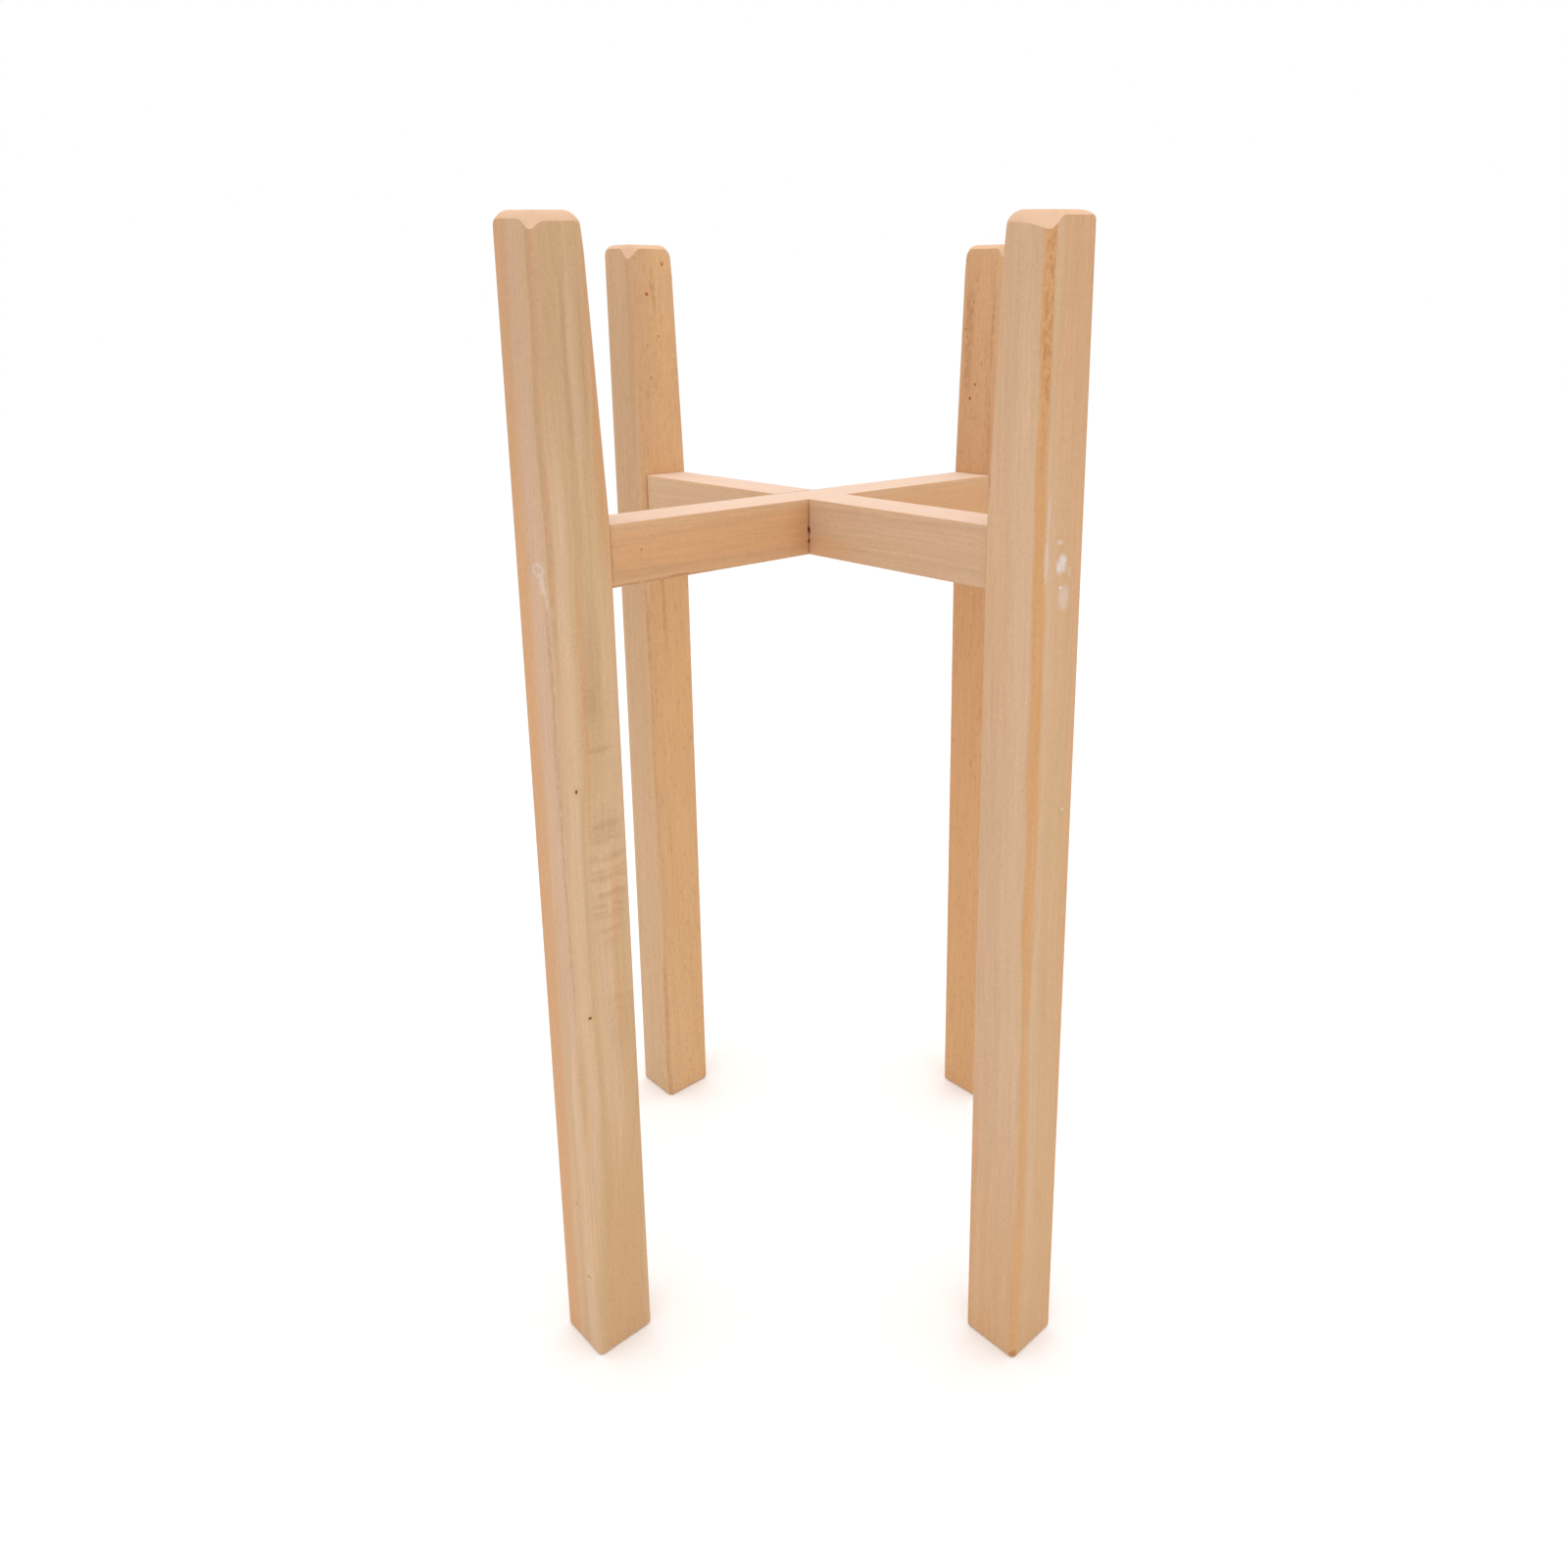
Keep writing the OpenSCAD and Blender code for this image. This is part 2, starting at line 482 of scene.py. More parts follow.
class Section(Enum):
    """The section of a piece of wood, which says where its worn edges lie."""

    LEG = "leg"
    RAIL = "rail"
    ROUND = "round"

    def arris(self, board: Board) -> Numeric:
        """Gives how near the surface is to a long edge.

        Args:
            board: The graph of the piece.

        Returns:
            The nearness, 0 to 1.
        """
        if self is Section.ROUND:
            return 0.0
        measures = board.vector("ABSOLUTE", board.scaled(board.place, 1.0 / MM))
        split = board.node("ShaderNodeSeparateXYZ", {0: measures})
        x, y, z = (Number(board, socket) for socket in split.outputs)
        near, far = board.math("MINIMUM", x, y), board.math("MAXIMUM", x, y)
        if self is Section.RAIL:
            return board.rise(near, *RAIL_SIDES) * board.rise(board.gap(z, RAIL_MIDDLE), *RAIL_FACES)
        lean = board.math("MAXIMUM", z - RAIL_TOP, 0.0) * TAPER
        inner, outer = board.rise(far - lean, *LEG_INNER), board.rise(far, *LEG_OUTER)
        return board.rise(near, *LEG_SIDES) * board.math("MAXIMUM", outer, inner)


@dataclass(frozen=True)
class SawnWood:
    """Sanded, unfinished timber with its rings, fibres, pores and marks. Millimetres.

    The pith is a point on the tree's middle line, which the rings go round. The line leans from the
    grain's axis by its lean, in millimetres for each metre, so that the rings run out on a face.
    """

    name: str
    grain: Grain
    section: Section
    pith: Point
    seed: float
    lean: Point = (0.0, 0.0, 0.0)
    body: Tone = Tone.BODY
    ring: float = 7.0
    figure: float = 0.30
    drift: tuple[Tone, Tone] = (Tone.ROSY, Tone.WARM)
    mottle: float = 0.15
    stripes: float = 0.26
    flecks: float = 0.0
    wear: float = 0.45
    # a tone laid on faces that point up: a painted highlight, paler where the light from above falls
    top: Tone | None = None
    streaks: tuple[Streak, ...] = ()
    curls: tuple[Curl, ...] = ()
    knots: tuple[Mark, ...] = ()
    smears: tuple[Mark, ...] = ()

    def material(self) -> Material:
        """Builds the material, from the bare board up to what lies on it.

        Returns:
            The material.
        """
        board = Board(self.name, self.body, self.grain)
        self._lay_board(board)
        for patch in (*self.streaks, *self.curls):
            patch.lay(board)
        # painted highlight: faces that point up are paled towards this tone, as if lit from above
        if self.top:
            board.lay(board.rise(board.along(board.normal, UP), 0.55, 0.90) * 0.92, self.top)
        worn = self.section.arris(board) * board.rise(board.torn, 0.30, 0.62)
        board.lay(worn * self.wear, Tone.WARM)
        if self.flecks:
            dash = board.rise(board.pattern(640.0, 150.0, 3.0, 0.65), 0.56, 0.68)
            board.lay(dash * self.flecks, Tone.BROWN)
        end = board.rise(board.math("ABSOLUTE", board.along(board.normal, self.grain.value)), 0.30, 0.62)
        fibre = board.pattern(620.0, 11.0, 3.0, 0.6)
        pore = board.rise(board.pattern(2300.0, 160.0, 1.0), 0.62, 0.74) * (1.0 - end)
        board.dim(1.0 + (fibre - 0.5) * 0.26 + (board.torn - 0.5) * 0.28 - pore * 0.05)
        self._lay_end_grain(board, end * 0.85)
        for knot in self.knots:
            knot.lay(board)
        roughness = 0.62 + fibre * 0.12 + pore * 0.10 - worn * 0.08
        height = fibre * 0.6 - pore * 0.2
        for smear in self.smears:
            cover = smear.lay(board)
            roughness = roughness + cover * 0.10
            height = height + cover * 0.4
        return board.finish(roughness, height, 0.12, {"Specular IOR Level": 0.35})

    def _lay_board(self, board: Board) -> None:
        """Lays the rings, slow changes of tone, mottling and stripes of the bare board.

        Args:
            board: The graph of the piece.
        """
        lean = tuple(value / 1000.0 for value in self.lean)
        depth = board.beside(self.pith, lean, board.along(board.place, self.grain.value) / MM) / self.ring
        ring = board.rise(board.layers(depth, self.seed), 0.30, 0.70)
        fine = board.rise(board.layers(depth * 3.1, self.seed + 40.0), 0.35, 0.68)
        board.lay(ring * (self.figure * 2.0), Tone.PALE)
        board.lay(fine * (self.figure * 0.7), Tone.OLIVE)
        shift = (self.seed, self.seed * 2.0, 0.0)
        moved = board.vector("ADD", board.stretched(board.wander, 34.0, 3.0), shift)
        slow = Number(board, board.noise(moved, 3.0).outputs[0])
        board.lay(board.rise(slow, 0.48, 0.72) * 0.55, self.drift[0])
        board.lay(board.rise(slow, 0.50, 0.26) * 0.50, self.drift[1])
        blotch = board.pattern(210.0, 60.0, 4.0, 0.6)
        board.lay(board.rise(blotch, 0.52, 0.74) * self.mottle, Tone.DARK)
        board.dim(1.0 + (board.pattern(330.0, 9.0, 3.0, 0.65) - 0.5) * self.stripes)

    def _lay_end_grain(self, board: Board, share: Number) -> None:
        """Lays a share, 0 to 1, of the paler colour of sanded end grain.

        Args:
            board: The graph of the piece.
            share: The share.
        """
        soft = board.cloud(board.place, (230.0, 230.0, 230.0), 3.0, 0.55)
        ground = board.blend(board.rise(soft, 0.52, 0.70) * 0.45, Tone.END.value, Tone.OLIVE.value)
        board.colour = board.blend(share, board.colour, board.scaled(ground, 0.97 + board.torn * 0.06))


@dataclass(frozen=True)
class Putty:
    """Dried wood filler: tinted like the wood, with a pale skin where it was wiped on. Millimetres."""

    name: str
    smears: tuple[Mark, ...]

    def material(self) -> Material:
        """Builds the material.

        Returns:
            The material.
        """
        surface = Surface(self.name, Tone.FILLER)
        lumps = surface.cloud(surface.place, (700.0, 700.0, 700.0), 4.0, 0.6)
        surface.dim(0.94 + lumps * 0.12)
        for smear in self.smears:
            smear.lay(surface)
        return surface.finish(0.72 + lumps * 0.16, lumps, 0.10, {"Specular IOR Level": 0.3})


@dataclass(frozen=True)
class ZincSteel:
    """Yellow-passivated zinc on a steel screw."""

    name: str = "zinc_steel"

    def material(self) -> Material:
        """Builds the material.

        Returns:
            The material.
        """
        surface = Surface(self.name, Tone.ZINC)
        haze = surface.cloud(surface.place, (260.0, 260.0, 260.0), 4.0, 0.6)
        scratch = surface.cloud(surface.place, (90.0, 2600.0, 2600.0), 2.0)
        surface.lay(surface.rise(haze, 0.35, 0.7), Tone.DULL_ZINC)
        return surface.finish(0.26 + haze * 0.18, scratch, 0.02, {"Metallic": 1.0})


def lathe(mesh: Mesh, outline: Sequence[tuple[float, float]], level: float) -> None:
    """Turns an outline about a line along X and adds the closed solid to the mesh.

    Args:
        mesh: The mesh that takes the solid.
        outline: Points of place along X and radius, whose ends lie on the line.
        level: The line's height.
    """
    points = [mesh.verts.new((x, 0.0, level + radius)) for x, radius in outline]
    edges = [mesh.edges.new(pair) for pair in zip(points, points[1:])]
    turn = {"cent": (0.0, 0.0, level), "axis": (1.0, 0.0, 0.0), "angle": math.tau, "steps": ROUND_SIDES}
    bmesh.ops.spin(mesh, geom=[*points, *edges], use_merge=True, **turn)
    bmesh.ops.remove_doubles(mesh, verts=mesh.verts[:], dist=WELD)


def drill(mesh: Mesh, start: float, stop: float, radius: float, level: float) -> None:
    """Adds a cylinder between two places on a line along X at a level."""
    lathe(mesh, [(start, 0.0), (start, radius), (stop, radius), (stop, 0.0)], level)


def block(mesh: Mesh, low: Point, high: Point) -> None:
    """Adds a rectangular block between two corners.

    Args:
        mesh: The mesh that takes the block.
        low: The corner with the smallest coordinates.
        high: The corner with the largest ones.
    """
    size = Vector(high) - Vector(low)
    place = Matrix.Translation((Vector(low) + Vector(high)) / 2) @ Matrix.Diagonal((*size, 1.0))
    bmesh.ops.create_cube(mesh, size=1.0, matrix=place)


def round_edges(mesh: Mesh, edges: Iterable[bmesh.types.BMEdge], width: float, steps: int) -> None:
    """Rounds edges over a width, in so many steps."""
    rounding = {"offset": width, "segments": steps, "profile": 0.5, "affect": "EDGES", "material": -1}
    bmesh.ops.bevel(mesh, geom=list(edges), **rounding)


def to_object(name: str, mesh: Mesh, place: Matrix) -> bpy.types.Object:
    """Puts a mesh in its place in the stand and makes an object at the origin of it.

    Args:
        name: The object's name.
        mesh: The mesh, which is freed.
        place: The move from where it was built.

    Returns:
        The object.
    """
    bmesh.ops.transform(mesh, matrix=place, verts=mesh.verts[:])
    bmesh.ops.recalc_face_normals(mesh, faces=mesh.faces[:])
    if mesh.calc_volume(signed=True) < 0.0:
        bmesh.ops.reverse_faces(mesh, faces=mesh.faces[:])
    data = bpy.data.meshes.new(name)
    mesh.to_mesh(data)
    mesh.free()
    made = bpy.data.objects.new(name, data)
    bpy.context.scene.collection.objects.link(made)
    return made


def carve(body: bpy.types.Object, tool: bpy.types.Object) -> None:
    """Takes a tool's solid out of a body and deletes the tool.

    Args:
        body: The object that is cut.
        tool: The object that cuts it.
    """
    cut = body.modifiers.new("cut", "BOOLEAN")
    cut.operation = "DIFFERENCE"
    cut.solver = "EXACT"
    cut.object = tool
    uncut = body.data
    carved = bpy.data.meshes.new_from_object(body.evaluated_get(bpy.context.evaluated_depsgraph_get()))
    body.modifiers.clear()
    body.data = carved
    carved.name = body.name
    bpy.data.meshes.remove(uncut)
    bpy.data.objects.remove(tool)


def shade(piece: bpy.types.Object, material: Material, crease: float = 22.0) -> None:
    """Gives a piece its finish and smooth shading.

    Args:
        piece: The object.
        material: Its finish.
        crease: The angle in degrees from which an edge stays sharp.
    """
    piece.data.materials.clear()
    piece.data.materials.append(material)
    piece.data.shade_smooth()
    piece.data.set_sharp_from_angle(angle=math.radians(crease))


def stand_in(piece: bpy.types.Object, node: str) -> None:
    """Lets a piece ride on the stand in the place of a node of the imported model.

    Args:
        piece: The object.
        node: The node's name.
    """
    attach(piece, ROOT)
    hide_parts(node)
    LOG.info("%s: %d faces, stands for %s", piece.name, len(piece.data.polygons), node)


class Corner(Enum):
    """The four ends of the cross, by quarter turns from the +X axis."""

    FRONT_RIGHT = 0
    BACK_RIGHT = 1
    BACK_LEFT = 2
    FRONT_LEFT = 3

    @property
    def label(self) -> str:
        """The name that ends the names of this corner's pieces."""
        return self.name.lower()

    @property
    def grain(self) -> Grain:
        """The way the grain of this corner's dowels runs."""
        return Grain.ALONG_Y if self.value % 2 else Grain.ALONG_X

    def turn(self) -> Matrix:
        """Turns a piece from the +X axis to this corner."""
        return Matrix.Rotation(self.value * math.pi / 2, 4, "Z")


@dataclass(frozen=True)
class Facet:
    """A cut over one upper corner of a leg, rounded or flat. Millimetres.

    It reaches along the outer or inner face, and along the side face.
    """

    depth: float = 9.0
    along_end: float = 13.5
    along_side: float = 13.5
    flat: bool = False
    on_arris: float = 0.86

    def drop(self, end_gap: float, side_gap: float) -> float:
        """Gives how far the cut lies below the top.

        Args:
            end_gap: The distance from the outer or inner face.
            side_gap: The distance from the side face.

        Returns:
            The drop, in millimetres.
        """
        share = max(0.0, 1.0 - side_gap / self.along_end - end_gap / self.along_side)
        if self.flat:
            return self.depth * share
        turned = min(1.0, share / self.on_arris)
        return self.depth * (1.0 - math.sqrt(1.0 - turned * turned))


@dataclass(frozen=True)
class Crown:
    """The hand-sanded top of a leg, with its left and right as seen from outside. Millimetres.

    The whole top dips a little towards the corner that has the flat facet.
    """

    dip: float = 0.0
    outer: float = 4.2
    inner: float = 4.2
    left: float = 4.2
    right: float = 4.2
    reach: float = 7.0
    span: float = 57.0
    outer_left: Facet = Facet()
    outer_right: Facet = Facet()
    inner_left: Facet = Facet()
    inner_right: Facet = Facet()
    merge: float = 6.0

    def drop(self, outer: float, inner: float, left: float, right: float) -> float:
        """Gives how far the crown lies below the leg's height.

        Args:
            outer: The distance from the leg's outer face.
            inner: The distance from its inner face.
            left: The distance from its left face.
            right: The distance from its right face.

        Returns:
            The drop, in millimetres.
        """
        faces = ((self.outer, outer), (self.inner, inner), (self.left, left), (self.right, right))
        drops = [edge * max(0.0, 1.0 - gap / self.reach) ** 2 for edge, gap in faces]
        fall = 0.0
        corners = (
            (self.outer_left, outer, left),
            (self.outer_right, outer, right),
            (self.inner_left, inner, left),
            (self.inner_right, inner, right),
        )
        for facet, end_gap, side_gap in corners:
            drops.append(facet.drop(end_gap, side_gap))
            if facet.flat:
                fall = self.dip * max(0.0, 1.0 - (end_gap + side_gap) / self.span)
        return fall + sum(drop**self.merge for drop in drops) ** (1.0 / self.merge)


@dataclass(frozen=True)
class JointSizes:
    """The sizes that the pieces share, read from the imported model, and the clearances in their holes."""

    inner: float
    outer: float
    height: float
    rail_top: float
    rail_bottom: float
    rail_half: float
    dowel_radius: float
    dowel_offset: float
    dowel_half: float
    filler_depth: float
    filler_radius: float
    head_radius: float
    screw_radius: float
    screw_tip: float
    fit: float = 0.1 * MM
    spare: float = 1.0 * MM

    @classmethod
    def from_frame(cls) -> JointSizes:
        """Reads the sizes off the pieces on the +X axis.

        Returns:
            The sizes.
        """
        leg_low, leg_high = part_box("leg_front_right")
        rail_low, rail_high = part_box("under_rail")
        dowel_low, dowel_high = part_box("dowel_upper_front_right")
        filler_low, filler_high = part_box("filler_front_right")
        screw_low, screw_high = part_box("screw_front_right")
        thread_of_head = 4.5 / 8.0
        return cls(
            inner=leg_low.x,
            outer=leg_high.x,
            height=leg_high.z,
            rail_top=rail_high.z,
            rail_bottom=rail_low.z,
            rail_half=rail_high.y,
            dowel_radius=dowel_high.y,
            dowel_offset=(dowel_low.z + dowel_high.z) / 2 - (rail_low.z + rail_high.z) / 2,
            dowel_half=(dowel_high.x - dowel_low.x) / 2,
            filler_depth=filler_high.x - filler_low.x,
            filler_radius=filler_high.y,
            head_radius=screw_high.y,
            screw_radius=screw_high.y * thread_of_head,
            screw_tip=screw_low.x,
        )

    @property
    def rail_middle(self) -> float:
        """The height of the rails' middle."""
        return (self.rail_top + self.rail_bottom) / 2


@dataclass
class Leg:
    """One upright leg: square in section, tapered on its inner face above the rails."""

    corner: Corner
    sizes: JointSizes
    wood: SawnWood
    crown: Crown
    top_depth: float = 30.0 * MM
    arris: float = 3.2 * MM
    arris_steps: int = 5
    foot_edge: float = 2.2 * MM
    foot_steps: int = 3
    crown_band: float = 22.0 * MM
    crown_step: float = 1.2 * MM
    edge_cuts: tuple[float, ...] = (0.35 * MM, 0.9 * MM, 1.6 * MM, 2.4 * MM, 3.2 * MM)

    @property
    def width(self) -> float:
        """The leg's width and its depth below the rails."""
        return self.sizes.outer - self.sizes.inner

    @property
    def place(self) -> Matrix:
        """The move from outside the plane x = 0 to the leg's corner."""
        return self.corner.turn() @ Matrix.Translation((self.sizes.inner, 0.0, 0.0))

    def build(self) -> None:
        """Builds the leg outside the plane x = 0, then moves it to its corner."""
        mesh = bmesh.new()
        half = self.width / 2
        block(mesh, (0.0, -half, 0.0), (self.width, half, self.sizes.height))
        upright = [e for e in mesh.edges if abs(e.verts[0].co.z - e.verts[1].co.z) > half]
        round_edges(mesh, upright, self.arris, self.arris_steps)
        foot = [e for e in mesh.edges if max(v.co.z for v in e.verts) < MM]
        round_edges(mesh, foot, self.foot_edge, self.foot_steps)
        for level in (self.sizes.rail_top, self.sizes.height - self.crown_band):
            self._cut(mesh, mesh.faces, (0.0, 0.0, level), UP)
        self._taper(mesh)
        self._sand_crown(mesh)
        leg = to_object(f"leg.{self.corner.label}", mesh, self.place)
        carve(leg, self._bores())
        shade(leg, self.wood.material())
        stand_in(leg, f"leg_{self.corner.label}")

    def _cut(
        self, mesh: Mesh, faces: Iterable[bmesh.types.BMFace], point: Point, normal: Point
    ) -> None:
        """Cuts faces in two by a plane through a point.

        Args:
            mesh: The leg's mesh.
            faces: The faces that the plane may cut.
            point: A point on the plane.
            normal: The direction square to it.
        """
        whole = list(faces)
        edges = {edge for face in whole for edge in face.edges}
        verts = {vert for face in whole for vert in face.verts}
        bmesh.ops.bisect_plane(mesh, geom=[*verts, *edges, *whole], plane_co=point, plane_no=normal)

    def _taper(self, mesh: Mesh) -> None:
        """Leans the inner face outwards above the rails.

        Args:
            mesh: The leg's mesh.
        """
        rise = self.sizes.height - self.sizes.rail_top
        for vert in mesh.verts:
            share = max(0.0, vert.co.z - self.sizes.rail_top) / rise
            vert.co.x += share * (self.width - self.top_depth) * (1.0 - vert.co.x / self.width)

    def _sand_crown(self, mesh: Mesh) -> None:
        """Cuts the top into a fine grid and lowers it to the shape of the crown.

        Args:
            mesh: The leg's mesh.
        """
        half = self.width / 2
        inner_face = self.width - self.top_depth
        across = [((0.0, y, 0.0), (0.0, 1.0, 0.0)) for y in self._grid(-half, half)]
        outward = [((x, 0.0, 0.0), (1.0, 0.0, 0.0)) for x in self._grid(inner_face, self.width)]
        level = self.sizes.height - self.crown_band - SLACK
        for point, normal in (*across, *outward):
            band = [face for face in mesh.faces if min(v.co.z for v in face.verts) > level]
            self._cut(mesh, band, point, normal)
        for vert in mesh.verts:
            share = (vert.co.z - self.sizes.height) / self.crown_band + 1.0
            if share > 0.0:
                outer, inner = self.width - vert.co.x, max(0.0, vert.co.x - inner_face)
                left, right = half + vert.co.y, half - vert.co.y
                vert.co.z -= share * self.crown.drop(outer / MM, inner / MM, left / MM, right / MM) * MM

    def _grid(self, low: float, high: float) -> list[float]:
        """Gives the places of the grid's lines, which lie closer together near the faces.

        Args:
            low: The place of one face.
            high: The place of the facing one.

        Returns:
            The places between them.
        """
        margin = self.edge_cuts[-1]
        steps = math.ceil((high - low - 2.0 * margin) / self.crown_step)
        flat = (high - low - 2.0 * margin) / steps
        middle = [low + margin + flat * i for i in range(1, steps)]
        return [*(low + gap for gap in self.edge_cuts), *middle, *(high - gap for gap in self.edge_cuts)]

    def _bores(self) -> bpy.types.Object:
        """Makes the solid of the leg's bores: for the filler, the screw and the two dowels.

        Returns:
            The solid, to be cut out of the leg.
        """
        sizes = self.sizes
        tool = bmesh.new()
        near, far = -sizes.spare, self.width + sizes.spare
        shaft = sizes.screw_radius + sizes.fit
        head = sizes.head_radius + sizes.fit
        bore = sizes.filler_radius + sizes.fit
        seat = self.width - sizes.filler_depth
        screw = [(near, 0.0), (near, shaft), (seat - (head - shaft), shaft), (seat, head)]
        filler = [(seat, bore), (far, bore), (far, 0.0)]
        lathe(tool, screw + filler, sizes.rail_middle)
        for side in (-1.0, 1.0):
            level = sizes.rail_middle + side * sizes.dowel_offset
            drill(tool, near, sizes.dowel_half + sizes.spare, sizes.dowel_radius + sizes.fit, level)
        return to_object("leg_bores", tool, self.place)


@dataclass
class Rail:
    """One rail of the cross, with its half of the lap joint and the holes in its ends."""

    name: str
    sizes: JointSizes
    wood: SawnWood
    along_y: bool
    notch_above: bool
    edge: float = 0.6 * MM
    edge_steps: int = 3
    end_edge: float = 0.35 * MM
    end_steps: int = 2
    end_gap: float = 0.15 * MM
    lap_gap: float = 0.4 * MM

    @property
    def place(self) -> Matrix:
        """The turn from X to the rail's own axis."""
        return Matrix.Rotation(math.pi / 2 if self.along_y else 0.0, 4, "Z")

    def build(self) -> None:
        """Builds the rail along X, then turns it if it runs along Y."""
        sizes = self.sizes
        mesh = bmesh.new()
        reach = sizes.inner - self.end_gap
        low = (-reach, -sizes.rail_half, sizes.rail_bottom)
        block(mesh, low, (reach, sizes.rail_half, sizes.rail_top))
        end_edges = [e for e in mesh.edges if abs(e.verts[0].co.x - e.verts[1].co.x) < reach]
        round_edges(mesh, end_edges, self.end_edge, self.end_steps)
        long_edges = [e for e in mesh.edges if abs(e.verts[0].co.x - e.verts[1].co.x) > reach]
        round_edges(mesh, long_edges, self.edge, self.edge_steps)
        rail = to_object(f"rail.{self.name}", mesh, self.place)
        carve(rail, self._cuts())
        shade(rail, self.wood.material())
        stand_in(rail, self.name)

    def _cuts(self) -> bpy.types.Object:
        """Makes the solid of the notch and of the bores in the rail's ends.

        Returns:
            The solid, to be cut out of the rail.
        """
        sizes = self.sizes
        tool = bmesh.new()
        half = sizes.rail_half + self.lap_gap
        past = sizes.rail_half + sizes.spare
        levels = (sizes.rail_bottom - sizes.spare, sizes.rail_middle)
        if self.notch_above:
            levels = (sizes.rail_middle, sizes.rail_top + sizes.spare)
        block(tool, (-half, -past, levels[0]), (half, past, levels[1]))
        dowel = (sizes.dowel_radius, sizes.dowel_half)
        screw = (sizes.screw_radius, sizes.inner - sizes.screw_tip)
        bores = [(dowel, -sizes.dowel_offset), (dowel, sizes.dowel_offset), (screw, 0.0)]
        for (radius, depth), offset in bores:
            for side in (-1.0, 1.0):
                start = side * (sizes.inner + sizes.spare)
                stop = side * (sizes.inner - depth - sizes.spare)
                drill(tool, start, stop, radius + sizes.fit, sizes.rail_middle + offset)
        bmesh.ops.recalc_face_normals(tool, faces=tool.faces[:])
        return to_object("rail_cuts", tool, self.place)


@dataclass
class FillerPlug:
    """The filler over one screw's head, spread to the bore's wall and sanded nearly flush."""

    corner: Corner
    sizes: JointSizes
    putty: Putty
    spread: float = 0.08 * MM
    sunk: float = 0.08 * MM
    rough: float = 0.06 * MM
    rings: int = 5
    lumps_per_metre: float = 900.0
    lumps_between_plugs: float = 7.0
    crease: float = 40.0

    def build(self) -> None:
        """Builds the plug in the leg's bore, then turns it to its corner."""
        sizes = self.sizes
        mesh = bmesh.new()
        radius = sizes.filler_radius + self.spread
        face = sizes.outer - self.sunk
        depth = sizes.filler_depth - self.sunk
        middle = Matrix.Translation((face - depth / 2, 0.0, sizes.rail_middle))
        turned = middle @ Matrix.Rotation(math.pi / 2, 4, "Y")
        shape = {"segments": ROUND_SIDES, "radius1": radius, "radius2": radius, "depth": depth}
        bmesh.ops.create_cone(mesh, cap_ends=True, matrix=turned, **shape)
        cap = [f for f in mesh.faces if f.calc_center_median().x > face - SLACK]
        ring = radius / (self.rings + 1.5)  # leaves a disc one and a half rings in radius
        for _ in range(self.rings):
            bmesh.ops.inset_region(mesh, faces=cap, thickness=ring)
        shift = Vector((self.corner.value * self.lumps_between_plugs, 0.0, 0.0))
        for vert in mesh.verts:
            if vert.co.x > face - SLACK:
                lump = noise.noise(vert.co * self.lumps_per_metre + shift)
                vert.co.x -= self.rough * (0.5 + 0.5 * lump)
        plug = to_object(f"filler.{self.corner.label}", mesh, self.corner.turn())
        shade(plug, self.putty.material(), self.crease)
        stand_in(plug, f"filler_{self.corner.label}")


